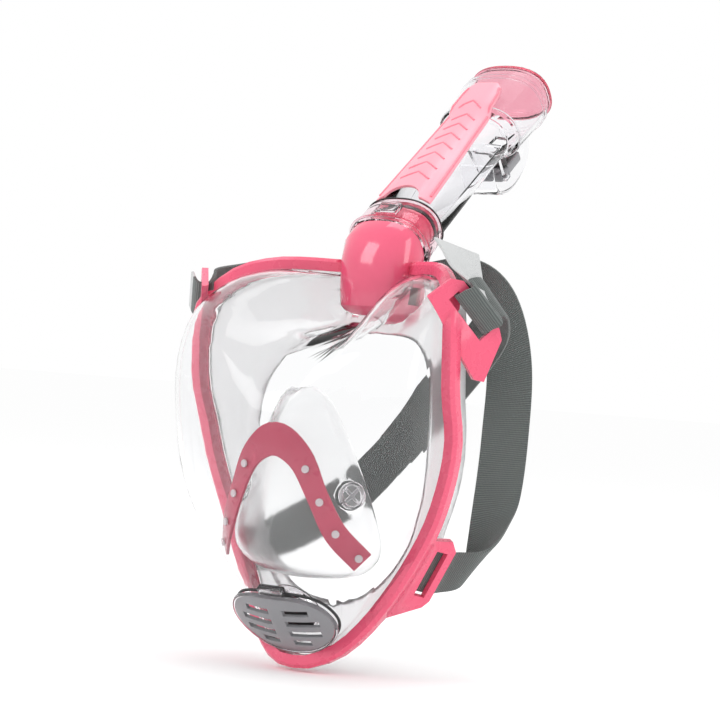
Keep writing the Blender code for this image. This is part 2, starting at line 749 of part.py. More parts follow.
def make_snorkel():
    socket = tube_shell("tube_socket", SOCKET_STEPS, 3.0 * MM, CLEAR, 0.3)
    window = tube_block("button_window", (0, BUTTON_ALONG, 20), (15, 11, 12))
    boolean(socket, "DIFFERENCE", make_cutter("button_window", window))
    button = tube_block("release_button", (0, BUTTON_ALONG, 20.1), (14.2, 10.2, 2.6))
    make_object("release_button", button, CLEAR, 0.1, 0.5)
    tube_shell("snorkel_tube", TUBE_STEPS, TUBE_WALL, CLEAR, 0.3)
    divider = tube_block("tube_divider", (0, 54, -3), (41, 94, 1.4))
    make_object("tube_divider", divider, CLEAR, 0.1, 0.3)
    ears = [tube_block("ear", (x, PIN_ALONG + 0.2, -25), (2, 6.6, 20.5)) for x in (-11.9, 11.9)]
    top = tube_shell("dry_top", TOP_STEPS, 2.0 * MM, CLEAR, 0.3, additions=ears)
    hole_end = along_point(-20, PIN_ALONG, -33)
    pin_hole = mesh_from("ear_hole", lambda s: disc(s, hole_end, X, 1.8 * MM, 40 * MM, 16))
    boolean(top, "DIFFERENCE", make_cutter("ear_hole", pin_hole))
    boolean(top, "DIFFERENCE", make_cutter("air_inlet", tube_block("air_inlet", (0, 126, -24), (14, 16, 16))))
    cap_rings = [tube_ring(s * MM, w * MM, d * MM) for s, w, d in CAP_STEPS]
    cap = make_object("top_cap", mesh_from("top_cap", lambda s: join_rings(s, cap_rings)), ROSE, 0.2)
    hollow_steps = ((158, 26, 18), (166.5, 25, 17), (169.5, 18, 12))
    hollow_rings = [tube_ring(s * MM, w * MM, d * MM) for s, w, d in hollow_steps]
    hollow = mesh_from("cap_hollow", lambda s: join_rings(s, hollow_rings))
    boolean(cap, "DIFFERENCE", make_cutter("cap_hollow", hollow))
    make_trim()
    make_float()


TRIM_THICKNESS = 2.2
TRIM_STATIONS = ((5, 20), (40, 18.5), (80, 16.5), (103, 15.5), (111, 15), (126, 14), (134, 12), (138, 8))


def front_depth(x, along):
    """Depth of the snorkel's front surface, in millimetres."""
    steps = TUBE_STEPS + TOP_STEPS
    places = [step[0] for step in steps]
    half_width = np.interp(along, places, [step[1] for step in steps])
    half_depth = np.interp(along, places, [step[2] for step in steps])
    return half_depth * (1 - (abs(x) / half_width) ** 2.4) ** (1 / 2.4)


def make_trim():
    """The panel along the front of the tube, with an arch cut into its foot."""
    rings = []
    for along, half_width in TRIM_STATIONS:
        across = np.linspace(-half_width, half_width, 9)
        near = [along_point(x, along, front_depth(x, along) + 0.5) for x in across]
        far = [along_point(x, along, front_depth(x, along) + 0.5 + TRIM_THICKNESS) for x in across[::-1]]
        rings.append(near + far)
    trim_mesh = mesh_from("tube_trim", lambda s: join_rings(s, rings))
    trim = make_object("tube_trim", trim_mesh, (0.93, 0.30, 0.42), 0.35)
    arch = mesh_from("arch", lambda s: disc(s, along_point(0, 3, 5), TUBE_FRONT, 13 * MM, 30 * MM, 32))
    boolean(trim, "DIFFERENCE", make_cutter("trim_arch", arch))


def along_point(x, along, front):
    return TUBE_BASE + X * x * MM + TUBE_AXIS * along * MM + TUBE_FRONT * front * MM


def make_float():
    """The float swings on a pin behind the tube and closes the air inlet when it floats."""
    guard_line = [
        (0, 96, -18.2), (0, 94, -28), (0, 98, -38), (0, 114, -43), (0, 134, -40), (0, 146, -32),
        (0, 148, -22.9),
    ]
    path = [along_point(*p) for p in smooth_path(guard_line, 5)]
    rings = []
    for k, point in enumerate(path):
        ahead = (path[min(k + 1, len(path) - 1)] - path[max(k - 1, 0)]).normalized()
        rings.append(ellipse_ring(point, X, ahead.cross(X), 13 * MM, 1.4 * MM, 16, 6.0))
    make_object("float_guard", mesh_from("float_guard", lambda s: join_rings(s, rings)), CLEAR, 0.08, 0.4)
    block = tube_block("float", (0, 123, -33), (20, 30, 7))
    float_part = make_object("float", block, GREY, 0.5)
    bevel = float_part.modifiers.new("round", "BEVEL")
    bevel.width = 1.5 * MM
    bevel.segments = 2
    hole_end = along_point(-20, PIN_ALONG, -33)
    hole = mesh_from("pin_hole", lambda s: disc(s, hole_end, X, 1.8 * MM, 40 * MM, 16))
    boolean(float_part, "DIFFERENCE", make_cutter("float_pin_hole", hole))
    make_disc("float_pin", along_point(-12, PIN_ALONG, -33), X, 1.5 * MM, 24 * MM, GREY, 0.3, 1.0, 16)
    pad = tube_block("float_seal", (0, 126, -28.3), (18, 20, 1.6))
    make_object("float_seal", pad, BLACK, 0.6)


# ---- straps -----------------------------------------------------------------------------


def make_straps():
    """Two straps, each from an upper lug round behind the head to the lower lug opposite."""
    over = [
        *lug_stations(UPPER_LUG, -1, FOLD),
        ((-94, 32, 110), (-0.5, 0.7, -0.5)), ((-78, 58, 120), (-0.5, 0.8, -0.2)),
        ((-46, 86, 124), (-0.52, 0.84, 0)), ((-8, 108, 122), (-0.45, 0.85, -0.3)),
        ((28, 114, 121), (-0.45, 0.35, -0.8)), ((58, 103, 103), (-0.6, -0.1, -0.78)),
        ((76, 90, 66), (-0.78, -0.5, -0.35)), ((80, 84, 22), (-0.83, -0.54, 0.0)),
        ((80, 80, -14), (-0.83, -0.54, -0.1)), ((80, 72, -38), (-0.80, -0.34, -0.5)),
        ((80, 58, -58), (-0.60, 0.0, -0.80)), *lug_stations(LOWER_LUG, 1, ANCHOR),
    ]
    under = [
        ((77, 12, 133), (0.72, 0.62, -0.28)), ((83, 9, 124), (0.6, 0.62, -0.45)),
        ((91, 5, 112), (0.5, 0.6, -0.6)), *lug_stations(UPPER_LUG, 1, FOLD),
        ((98, 26, 103), (0.43, 0.45, -0.76)), ((86, 46, 86), (0.47, 0.3, -0.82)),
        ((46, 68, 50), (0.62, 0.1, -0.78)), ((14, 78, 16), (0.68, 0.0, -0.72)),
        ((-20, 80, -18), (0.5, 0.0, -0.86)), ((-56, 74, -44), (0.35, 0.0, -0.93)),
        ((-78, 58, -60), (0.44, 0, -0.89)), *lug_stations(LOWER_LUG, -1, ANCHOR),
    ]
    for name, stations in (("strap_right_to_left", over), ("strap_left_to_right", under)):
        rings = ribbon_rings(stations, STRAP_WIDTH, STRAP_THICKNESS)
        make_object(name, mesh_from(name, lambda s: join_rings(s, rings)), WEBBING, 0.9)


def place_origins():
    """Puts each moving part's origin on the line that it turns or slides along."""
    origins = {
        "release_button": along_point(0, BUTTON_ALONG, 20), "float": along_point(0, PIN_ALONG, -33),
        "float_seal": along_point(0, PIN_ALONG, -33), "chin_grille": VALVE_CENTRE,
        "grille_latch": VALVE_CENTRE, "drain_membrane": VALVE_CENTRE,
        "inhale_membrane_left": INHALE_PLACE,
        "inhale_membrane_right": Vector((-INHALE_PLACE.x, INHALE_PLACE.y, INHALE_PLACE.z)),
    }
    for name in ("tube_socket", "snorkel_tube", "tube_divider", "tube_trim", "dry_top", "top_cap"):
        origins[name] = TUBE_BASE
    for name, place in origins.items():
        part = bpy.data.objects[name]
        part.data.transform(Matrix.Translation(-place))
        part.location = place


def main():
    frame = make_frame()
    lens = make_lens()
    skirt = make_skirt()
    pocket = make_pocket()
    make_nose_plate()
    make_inhale_valves(pocket)
    make_chin_drain(lens)
    make_elbow([frame, lens, skirt])
    make_oring()
    make_snorkel()
    make_straps()
    place_origins()


main()
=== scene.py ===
import math

import bpy
from mathutils import Matrix, Vector


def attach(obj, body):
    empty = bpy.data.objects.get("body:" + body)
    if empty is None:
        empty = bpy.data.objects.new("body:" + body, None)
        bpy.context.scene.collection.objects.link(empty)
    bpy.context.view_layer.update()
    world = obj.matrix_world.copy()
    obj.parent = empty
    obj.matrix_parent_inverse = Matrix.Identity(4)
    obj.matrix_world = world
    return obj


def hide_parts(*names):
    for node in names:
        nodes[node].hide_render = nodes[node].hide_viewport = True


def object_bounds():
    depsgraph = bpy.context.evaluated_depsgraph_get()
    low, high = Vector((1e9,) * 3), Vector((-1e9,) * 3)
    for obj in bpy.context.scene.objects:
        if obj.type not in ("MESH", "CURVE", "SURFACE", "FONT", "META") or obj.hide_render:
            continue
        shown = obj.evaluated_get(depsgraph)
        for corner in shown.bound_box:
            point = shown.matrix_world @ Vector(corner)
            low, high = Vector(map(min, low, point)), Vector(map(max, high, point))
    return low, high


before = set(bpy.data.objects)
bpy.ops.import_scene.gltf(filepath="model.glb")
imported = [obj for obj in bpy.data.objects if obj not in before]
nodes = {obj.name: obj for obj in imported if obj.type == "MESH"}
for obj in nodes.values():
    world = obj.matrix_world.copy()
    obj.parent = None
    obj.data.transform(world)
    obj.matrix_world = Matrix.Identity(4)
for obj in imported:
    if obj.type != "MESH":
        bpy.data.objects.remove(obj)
cad_low, cad_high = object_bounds()
scene = bpy.context.scene

# Camera: the mask is seen from the front and its own left, at the height of the eyes,
# through a long lens, with the picture turned a little so that the chin swings right.
viewpoint = bpy.data.cameras.new("viewpoint")
viewpoint.lens = 112.5
viewpoint.sensor_width = 36
viewpoint.clip_end = 200
camera = bpy.data.objects.new("camera", viewpoint)
scene.collection.objects.link(camera)
camera.matrix_world = Matrix((
    (0.8443, -0.0570, 0.5328, 0.7421),
    (0.5306, -0.0490, -0.8462, -1.1417),
    (0.0744, 0.9972, -0.0111, 0.0470),
    (0, 0, 0, 1),
))
scene.camera = camera

# Studio: a pale paper floor that runs back out of sight under an even white sky, with three
# large soft panels that give the plastics their highlights.
bpy.ops.object.select_all(action="DESELECT")
bpy.ops.mesh.primitive_plane_add(size=1, location=(0, 0, cad_low[2] - 0.002))
sweep = bpy.context.object
sweep.name = "studio_sweep"
sweep.data.transform(Matrix.Diagonal((60, 60, 1, 1)))
paper = bpy.data.materials.new("studio_paper")
paper.use_nodes = True
paper_shader = paper.node_tree.nodes["Principled BSDF"]
paper_shader.inputs["Roughness"].default_value = 0.9
paper_shader.inputs["Base Color"].default_value = (0.985, 0.985, 0.985, 1)
paper_shader.inputs["Specular IOR Level"].default_value = 0
sweep.data.materials.append(paper)

world = bpy.data.worlds.new("studio_air")
world.use_nodes = True
world.node_tree.nodes["Background"].inputs["Color"].default_value = (1, 1, 1, 1)
world.node_tree.nodes["Background"].inputs["Strength"].default_value = 1.0
scene.world = world
scene.view_settings.view_transform = "Standard"


def soft_panel(name, place, target, size, power):
    lamp = bpy.data.lights.new(name, "AREA")
    lamp.shape = "RECTANGLE"
    lamp.size, lamp.size_y = size
    lamp.energy = power
    panel = bpy.data.objects.new(name, lamp)
    scene.collection.objects.link(panel)
    facing = (Vector(target) - Vector(place)).to_track_quat("-Z", "Y").to_matrix().to_4x4()
    panel.matrix_world = Matrix.Translation(place) @ facing


soft_panel("key_panel", (-0.7, -1.3, 1.0), (0, 0, 0.05), (0.7, 0.9), 7)
soft_panel("side_panel", (1.5, 0.2, 0.6), (0, 0, 0.05), (0.5, 1.2), 5)
soft_panel("top_panel", (0, 0.4, 1.5), (0, 0.1, 0.1), (0.9, 0.9), 5)


# Mask frame: a one-piece ring of rose polycarbonate with four lugs for the head straps,
# moulded, with softened edges and a fine satin skin.
def merged_copy(node, name, body, bevel=0.0, angle=35.0):
    """A piece with the node's own shape, its triangles joined up and its edges softened."""
    piece = bpy.data.objects.new(name, nodes[node].data.copy())
    scene.collection.objects.link(piece)
    piece.data.materials.clear()
    bpy.ops.object.select_all(action="DESELECT")
    bpy.context.view_layer.objects.active = piece
    piece.select_set(True)
    bpy.ops.object.mode_set(mode="EDIT")
    bpy.ops.mesh.select_all(action="SELECT")
    bpy.ops.mesh.remove_doubles(threshold=0.00003)
    bpy.ops.mesh.dissolve_limited(angle_limit=math.radians(1.0))
    bpy.ops.object.mode_set(mode="OBJECT")
    if bevel:
        round_over = piece.modifiers.new("round_over", "BEVEL")
        round_over.width = bevel
        round_over.segments = 3
        round_over.limit_method = "ANGLE"
        round_over.angle_limit = math.radians(angle)
        round_over.harden_normals = False
        bpy.ops.object.modifier_apply(modifier="round_over")
    bpy.ops.object.shade_smooth_by_angle(angle=math.radians(angle))
    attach(piece, body)
    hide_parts(node)
    return piece


def socket(group, name, kind, way, value=None):
    made = group.interface.new_socket(name=name, in_out=way, socket_type=kind)
    if value is not None:
        made.default_value = value


def moulded_skin_group():
    """Slow shade drift, flow marks and a fine grain for injection-moulded plastic."""
    group = bpy.data.node_groups.new("moulded_skin", "ShaderNodeTree")
    socket(group, "Colour", "NodeSocketColor", "INPUT")
    socket(group, "Deep Colour", "NodeSocketColor", "INPUT")
    socket(group, "Smooth", "NodeSocketFloat", "INPUT", 0.2)
    socket(group, "Rough", "NodeSocketFloat", "INPUT", 0.35)
    socket(group, "Grain", "NodeSocketFloat", "INPUT", 0.05)
    socket(group, "Colour", "NodeSocketColor", "OUTPUT")
    socket(group, "Roughness", "NodeSocketFloat", "OUTPUT")
    socket(group, "Normal", "NodeSocketVector", "OUTPUT")
    tree = group.nodes
    wire = group.links.new
    inlet = tree.new("NodeGroupInput")
    outlet = tree.new("NodeGroupOutput")
    place = tree.new("ShaderNodeTexCoord")
    drift = tree.new("ShaderNodeTexNoise")
    drift.inputs["Scale"].default_value = 22
    drift.inputs["Detail"].default_value = 5
    wire(place.outputs["Object"], drift.inputs["Vector"])
    tone = tree.new("ShaderNodeMix")
    tone.data_type = "RGBA"
    wire(drift.outputs["Fac"], tone.inputs["Factor"])
    wire(inlet.outputs["Colour"], tone.inputs[6])
    wire(inlet.outputs["Deep Colour"], tone.inputs[7])
    wire(tone.outputs[2], outlet.inputs["Colour"])
    flow = tree.new("ShaderNodeTexNoise")
    flow.inputs["Scale"].default_value = 160
    flow.inputs["Detail"].default_value = 6
    wire(place.outputs["Object"], flow.inputs["Vector"])
    sheen = tree.new("ShaderNodeMapRange")
    wire(flow.outputs["Fac"], sheen.inputs["Value"])
    sheen.inputs["From Min"].default_value = 0.3
    sheen.inputs["From Max"].default_value = 0.7
    wire(inlet.outputs["Smooth"], sheen.inputs["To Min"])
    wire(inlet.outputs["Rough"], sheen.inputs["To Max"])
    wire(sheen.outputs["Result"], outlet.inputs["Roughness"])
    grain = tree.new("ShaderNodeTexNoise")
    grain.inputs["Scale"].default_value = 2600
    grain.inputs["Detail"].default_value = 2
    wire(place.outputs["Object"], grain.inputs["Vector"])
    relief = tree.new("ShaderNodeBump")
    relief.inputs["Distance"].default_value = 0.0001
    wire(inlet.outputs["Grain"], relief.inputs["Strength"])
    wire(grain.outputs["Fac"], relief.inputs["Height"])
    wire(relief.outputs["Normal"], outlet.inputs["Normal"])
    return group


moulded_skin = moulded_skin_group()


def plastic(name, colour, deep, smooth, rough, grain, coat=0.0):
    """A coloured plastic with the moulded skin; the rest is set on its own shader."""
    material = bpy.data.materials.new(name)
    material.use_nodes = True
    tree = material.node_tree
    shader = tree.nodes["Principled BSDF"]
    skin = tree.nodes.new("ShaderNodeGroup")
    skin.node_tree = moulded_skin
    skin.inputs["Colour"].default_value = (*colour, 1)
    skin.inputs["Deep Colour"].default_value = (*deep, 1)
    skin.inputs["Smooth"].default_value = smooth
    skin.inputs["Rough"].default_value = rough
    skin.inputs["Grain"].default_value = grain
    tree.links.new(skin.outputs["Colour"], shader.inputs["Base Color"])
    tree.links.new(skin.outputs["Roughness"], shader.inputs["Roughness"])
    tree.links.new(skin.outputs["Normal"], shader.inputs["Normal"])
    shader.inputs["Coat Weight"].default_value = coat
    shader.inputs["Coat Roughness"].default_value = 0.08
    return material


mask_frame = merged_copy("frame", "mask_frame", "mask", angle=32)
mask_frame.data.materials.append(
    plastic("frame_rose_plastic", (0.84, 0.105, 0.20), (0.72, 0.07, 0.15), 0.22, 0.34, 0.12, 0.3)
)


# Visor: one blow of clear polycarbonate, full at the nose, with a hollow at the top for the
# elbow. Polished, with the faintest haze and wipe marks.
def clear_group():
    """Faint haze and wipe marks for polished clear plastic."""
    group = bpy.data.node_groups.new("clear_haze", "ShaderNodeTree")
    socket(group, "Tint", "NodeSocketColor", "INPUT")
    socket(group, "Mark Tint", "NodeSocketColor", "INPUT")
    socket(group, "Polish", "NodeSocketFloat", "INPUT", 0.01)
    socket(group, "Haze", "NodeSocketFloat", "INPUT", 0.05)
    socket(group, "Colour", "NodeSocketColor", "OUTPUT")
    socket(group, "Roughness", "NodeSocketFloat", "OUTPUT")
    tree = group.nodes
    wire = group.links.new
    inlet = tree.new("NodeGroupInput")
    outlet = tree.new("NodeGroupOutput")
    place = tree.new("ShaderNodeTexCoord")
    marks = tree.new("ShaderNodeTexNoise")
    marks.inputs["Scale"].default_value = 30
    marks.inputs["Detail"].default_value = 8
    marks.inputs["Distortion"].default_value = 1.5
    wire(place.outputs["Object"], marks.inputs["Vector"])
    spread = tree.new("ShaderNodeMapRange")
    spread.inputs["From Min"].default_value = 0.45
    spread.inputs["From Max"].default_value = 0.75
    wire(marks.outputs["Fac"], spread.inputs["Value"])
    wire(inlet.outputs["Polish"], spread.inputs["To Min"])
    wire(inlet.outputs["Haze"], spread.inputs["To Max"])
    wire(spread.outputs["Result"], outlet.inputs["Roughness"])
    tone = tree.new("ShaderNodeMix")
    tone.data_type = "RGBA"
    wire(marks.outputs["Fac"], tone.inputs["Factor"])
    wire(inlet.outputs["Tint"], tone.inputs[6])
    wire(inlet.outputs["Mark Tint"], tone.inputs[7])
    wire(tone.outputs[2], outlet.inputs["Colour"])
    return group


clear_haze = clear_group()


def clear_plastic(name, tint, mark_tint, polish, haze, ior=1.45, transmission=1.0):
    material = bpy.data.materials.new(name)
    material.use_nodes = True
    tree = material.node_tree
    shader = tree.nodes["Principled BSDF"]
    look = tree.nodes.new("ShaderNodeGroup")
    look.node_tree = clear_haze
    look.inputs["Tint"].default_value = (*tint, 1)
    look.inputs["Mark Tint"].default_value = (*mark_tint, 1)
    look.inputs["Polish"].default_value = polish
    look.inputs["Haze"].default_value = haze
    tree.links.new(look.outputs["Colour"], shader.inputs["Base Color"])
    tree.links.new(look.outputs["Roughness"], shader.inputs["Roughness"])
    shader.inputs["Transmission Weight"].default_value = transmission
    shader.inputs["IOR"].default_value = ior
    return material


visor = merged_copy("lens", "visor", "mask", angle=40)
visor.data.materials.append(
    clear_plastic("visor_clear", (0.985, 0.985, 0.99), (0.97, 0.975, 0.98), 0.0, 0.015, 1.30)
)


# Face skirt and nose pocket: soft translucent silicone, poured in one colour, with a frosted
# skin that scatters what is behind it.
def frosted_silicone(name, tint, deep, rough):
    material = clear_plastic(name, tint, deep, rough, rough + 0.1, 1.22, 0.82)
    shader = material.node_tree.nodes["Principled BSDF"]
    shader.inputs["Subsurface Weight"].default_value = 0.15
    shader.inputs["Subsurface Radius"].default_value = (0.01, 0.01, 0.01)
    return material


def softened(piece):
    """Rounds a merged copy off, as a soft moulding is."""
    bpy.ops.object.select_all(action="DESELECT")
    bpy.context.view_layer.objects.active = piece
    piece.select_set(True)
    bpy.ops.object.mode_set(mode="EDIT")
    bpy.ops.mesh.select_all(action="SELECT")
    bpy.ops.mesh.quads_convert_to_tris()
    bpy.ops.mesh.tris_convert_to_quads()
    bpy.ops.object.mode_set(mode="OBJECT")
    rounder = piece.modifiers.new("rounder", "SUBSURF")
    rounder.levels = 1
    rounder.render_levels = 1
    bpy.ops.object.modifier_apply(modifier="rounder")
    bpy.ops.object.shade_smooth()


silicone = frosted_silicone("skirt_silicone", (0.965, 0.968, 0.972), (0.93, 0.935, 0.94), 0.28)
face_skirt = merged_copy("face_skirt", "soft_skirt", "mask", angle=60)
softened(face_skirt)
face_skirt.data.materials.append(silicone)
pocket_silicone = frosted_silicone(
    "pocket_silicone", (0.975, 0.978, 0.98), (0.945, 0.95, 0.955), 0.12
)
pocket_shader = pocket_silicone.node_tree.nodes["Principled BSDF"]
pocket_shader.inputs["Transmission Weight"].default_value = 0.93
nose_pocket = merged_copy("nose_pocket", "soft_pocket", "mask", angle=60)
softened(nose_pocket)
nose_pocket.data.materials.append(pocket_silicone)


# Nose plate: a rose V that clamps the pocket's front to the visor, held by clear studs.
nose_plate = merged_copy("nose_plate", "rose_nose_plate", "mask", bevel=0.0005)
nose_plate.data.materials.append(
    plastic("plate_rose_plastic", (0.60, 0.06, 0.125), (0.50, 0.045, 0.10), 0.25, 0.4, 0.1, 0.2)
)
stud_clear = clear_plastic("stud_clear", (0.93, 0.90, 0.92), (0.85, 0.82, 0.85), 0.05, 0.12)
stud_milky = clear_plastic(
    "stud_milky", (0.97, 0.90, 0.92), (0.93, 0.82, 0.85), 0.1, 0.2, transmission=0.35
)
for side in ("left", "right"):
    for number in range(1, 5):
        place = f"{side}_{number}"
        stud = merged_copy(
            f"plate_stud_{place}", f"clear_stud_{place}", "mask", bevel=0.0005
        )
        stud.data.materials.append(stud_milky)


# Inhale valves: a clear spoked seat in each side of the pocket, with a thin flap behind it.
flap_silicone = frosted_silicone("flap_silicone", (0.94, 0.945, 0.95), (0.9, 0.9, 0.9), 0.3)
for side in ("left", "right"):
    seat = merged_copy(
        f"inhale_seat_{side}", f"clear_inhale_seat_{side}", "mask", bevel=0.0003
    )
    seat.data.materials.append(stud_clear)
    flap_name = f"inhale_flap_{side}"
    flap = merged_copy(f"inhale_membrane_{side}", flap_name, flap_name)
    flap.data.materials.append(flap_silicone)


# Chin drain: a clear spoked seat in the visor, a black flap on it, and a grey slotted cover
# that clips over both with a clear latch.
drain_seat = merged_copy("drain_seat", "clear_drain_seat", "mask", bevel=0.0003)
drain_seat.data.materials.append(stud_clear)
black_rubber = plastic("black_rubber", (0.02, 0.02, 0.021), (0.03, 0.03, 0.03), 0.45, 0.6, 0.3)
drain_flap = merged_copy(
    "drain_membrane", "black_drain_flap", "drain_flap", bevel=0.0002
)
drain_flap.data.materials.append(black_rubber)
chin_cover = merged_copy("chin_grille", "grey_chin_cover", "grille", bevel=0.0004)
grille_grey = plastic(
    "grille_grey", (0.27, 0.27, 0.285), (0.20, 0.20, 0.21), 0.28, 0.42, 0.15, 0.15
)
chin_cover.data.materials.append(grille_grey)
latch = merged_copy("grille_latch", "clear_latch", "grille", bevel=0.0012)
latch.data.materials.append(stud_clear)


# Cover rim: a clear moulded lip that runs round the grey cover's edge and follows its crown,
# swept as a round bead, with a thin black rubber gasket behind it.
def round_bead(name, points, radius, body, cyclic=False):
    """A round bar through the points, in metres, with rounded ends where it is open."""
    line = bpy.data.curves.new(name, "CURVE")
    line.dimensions = "3D"
    line.bevel_depth = radius
    line.bevel_resolution = 3
    line.use_fill_caps = True
    run = line.splines.new("POLY")
    run.points.add(len(points) - 1)
    for place, point in zip(run.points, points):
        place.co = (*point, 1)
    run.use_cyclic_u = cyclic
    bead = bpy.data.objects.new(name, line)
    scene.collection.objects.link(bead)
    bpy.ops.object.select_all(action="DESELECT")
    bpy.context.view_layer.objects.active = bead
    bead.select_set(True)
    bpy.ops.object.convert(target="MESH")
    bead = bpy.context.object
    bead.name = name
    bpy.ops.object.shade_smooth_by_angle(angle=math.radians(50))
    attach(bead, body)
    return bead


valve_centre = Vector((0, -0.017, -0.090))
valve_axis = Vector((0, -0.755, -0.656)).normalized()
chin_up = Vector((0, valve_axis.z, -valve_axis.y))
cover_corners = [
    (0, 22), (16, 21), (29, 15), (35, 3), (31, -8), (18, -17), (0, -20),
    (-18, -17), (-31, -8), (-35, 3), (-29, 15), (-16, 21),
]
rim_points = []
for number, corner in enumerate(cover_corners):
    before = Vector(cover_corners[number - 1])
    here = Vector(corner)
    after = Vector(cover_corners[(number + 1) % 12])
    beyond = Vector(cover_corners[(number + 2) % 12])
    for step in range(6):
        t = step / 6
        bend = 2 * before - 5 * here + 4 * after - beyond
        twist = 3 * (here - after) + beyond - before
        place = here + 0.5 * t * (after - before + t * (bend + t * twist))
        x, up = place * 1.02
        crown = 6.6 + 7 * (1 - (x / 38) ** 2 - 0.4 * (up / 26) ** 2) + 1.6
        offset = Vector((x, 0, 0)) + chin_up * up + valve_axis * crown
        rim_points.append(valve_centre + offset / 1000)
cover_rim = round_bead("clear_cover_rim", rim_points, 0.0013, "grille", cyclic=True)
cover_rim.data.materials.append(stud_clear)
gasket_points = [point - valve_axis * 0.0042 for point in rim_points]
cover_gasket = round_bead(
    "black_cover_gasket", gasket_points, 0.0009, "grille", cyclic=True
)
cover_gasket.data.materials.append(black_rubber)


# Elbow: a hollow rose polycarbonate knuckle with a polished front, and a spigot with a black
# rubber ring that the snorkel pushes onto.
elbow = merged_copy("elbow", "rose_elbow", "mask", bevel=0.0012, angle=30)
elbow.data.materials.append(
    plastic("elbow_rose_plastic", (0.84, 0.11, 0.21), (0.70, 0.065, 0.145), 0.10, 0.2, 0.04, 0.6)
)
seal = merged_copy("spigot_seal", "black_spigot_ring", "mask", bevel=0.0003)
seal.data.materials.append(black_rubber)


# Snorkel: a clear flattened tube with a wall down its middle, in a clear collar with a
# release button; polished polycarbonate throughout.
tube_clear = clear_plastic("tube_clear", (0.97, 0.97, 0.98), (0.95, 0.95, 0.96), 0.01, 0.03, 1.14)
collar_clear = clear_plastic(
    "collar_clear", (0.97, 0.80, 0.84), (0.95, 0.74, 0.79), 0.03, 0.08, 1.2
)
collar = merged_copy("tube_socket", "clear_collar", "snorkel", bevel=0.0006)
collar.data.materials.append(collar_clear)
button = merged_copy("release_button", "clear_button", "button", bevel=0.0006)
button.data.materials.append(stud_clear)
tube = merged_copy("snorkel_tube", "clear_tube", "snorkel", bevel=0.0003)
tube.data.materials.append(tube_clear)
divider = merged_copy("tube_divider", "clear_divider", "snorkel", bevel=0.0003)
divider.data.materials.append(tube_clear)
dry_top = merged_copy("dry_top", "clear_dry_top", "snorkel", bevel=0.0004)
dry_top.data.materials.append(tube_clear)
cap = merged_copy("top_cap", "rose_top_cap", "snorkel", bevel=0.001)
cap_rose = clear_plastic("cap_rose_clear", (0.93, 0.42, 0.50), (0.88, 0.34, 0.43), 0.05, 0.12, 1.4)
cap.data.materials.append(cap_rose)
guard = merged_copy("float_guard", "clear_float_guard", "snorkel", bevel=0.0005)
guard.data.materials.append(tube_clear)
float_block = merged_copy("float", "grey_float", "float_arm")
float_block.data.materials.append(grille_grey)
pin = merged_copy("float_pin", "grey_float_pin", "snorkel", bevel=0.0002)
pin.data.materials.append(grille_grey)
pad = merged_copy("float_seal", "black_float_pad", "float_arm", bevel=0.0003)
pad.data.materials.append(black_rubber)
trim = merged_copy("tube_trim", "coral_trim", "snorkel", bevel=0.0006)
trim.data.materials.append(
    plastic("trim_coral_plastic", (0.98, 0.40, 0.47), (0.92, 0.30, 0.38), 0.28, 0.42, 0.1, 0.2)
)

# Snorkel details: rings moulded round the dry top, a black ring at the collar's mouth, raised
# edges on the coral trim and chevron ribs down its middle, all swept as round beads.
tube_base = Vector((0, 0.078, 0.1505))
tube_axis = Vector((0, 0.779, 0.627)).normalized()
tube_front = Vector((0, -tube_axis.z, tube_axis.y))


def on_tube(x, along, front):
    return tube_base + (Vector((x, 0, 0)) + tube_axis * along + tube_front * front) / 1000


def tube_ring(name, along, half_width, half_depth, radius, material):
    ring = []
    for step in range(72):
        turn = 2 * math.pi * step / 72
        c, s = math.cos(turn), math.sin(turn)
        x = math.copysign(abs(c) ** (2 / 2.4), c) * half_width
        front = math.copysign(abs(s) ** (2 / 2.4), s) * half_depth
        ring.append(on_tube(x, along, front))
    bead = round_bead(name, ring, radius, "snorkel", cyclic=True)
    bead.data.materials.append(material)


tube_ring("collar_mouth_ring", 0.8, 26.6, 19.6, 0.0005, black_rubber)
tube_ring("collar_foot_ring", -21, 27.7, 20.7, 0.0009, collar_clear)
tube_ring("dry_top_ring_1", 113, 29.1, 20.2, 0.0007, tube_clear)
tube_ring("dry_top_ring_2", 148, 31.0, 22.0, 0.0007, tube_clear)
tube_ring("dry_top_ring_3", 153, 30.5, 21.8, 0.0007, tube_clear)
tube_ring("cap_ring", 163.5, 29.0, 21.0, 0.0010, cap_rose)

trim_sizes = ((5, 20), (40, 18.5), (80, 16.5), (103, 15.5), (111, 15), (126, 14), (134, 12))
tube_sizes = (
    (2.3, 24.5, 17.5), (50, 24, 17), (106, 23.5, 17),
    (106.3, 24, 17.5), (111, 29, 20), (150, 31, 22),
)


def between(table, along, column):
    """The value at a place along the tube, read between the two nearest sections."""
    for near, far in zip(table, table[1:]):
        if near[0] <= along <= far[0]:
            share = (along - near[0]) / (far[0] - near[0])
            return near[column] + share * (far[column] - near[column])
    return table[-1][column]


def trim_face(x, along):
    """A point on the trim's outer face."""
    half_width = between(tube_sizes, along, 1)
    half_depth = between(tube_sizes, along, 2)
    front = half_depth * (1 - (abs(x) / half_width) ** 2.4) ** (1 / 2.4) + 2.5
    return on_tube(x, along, front)


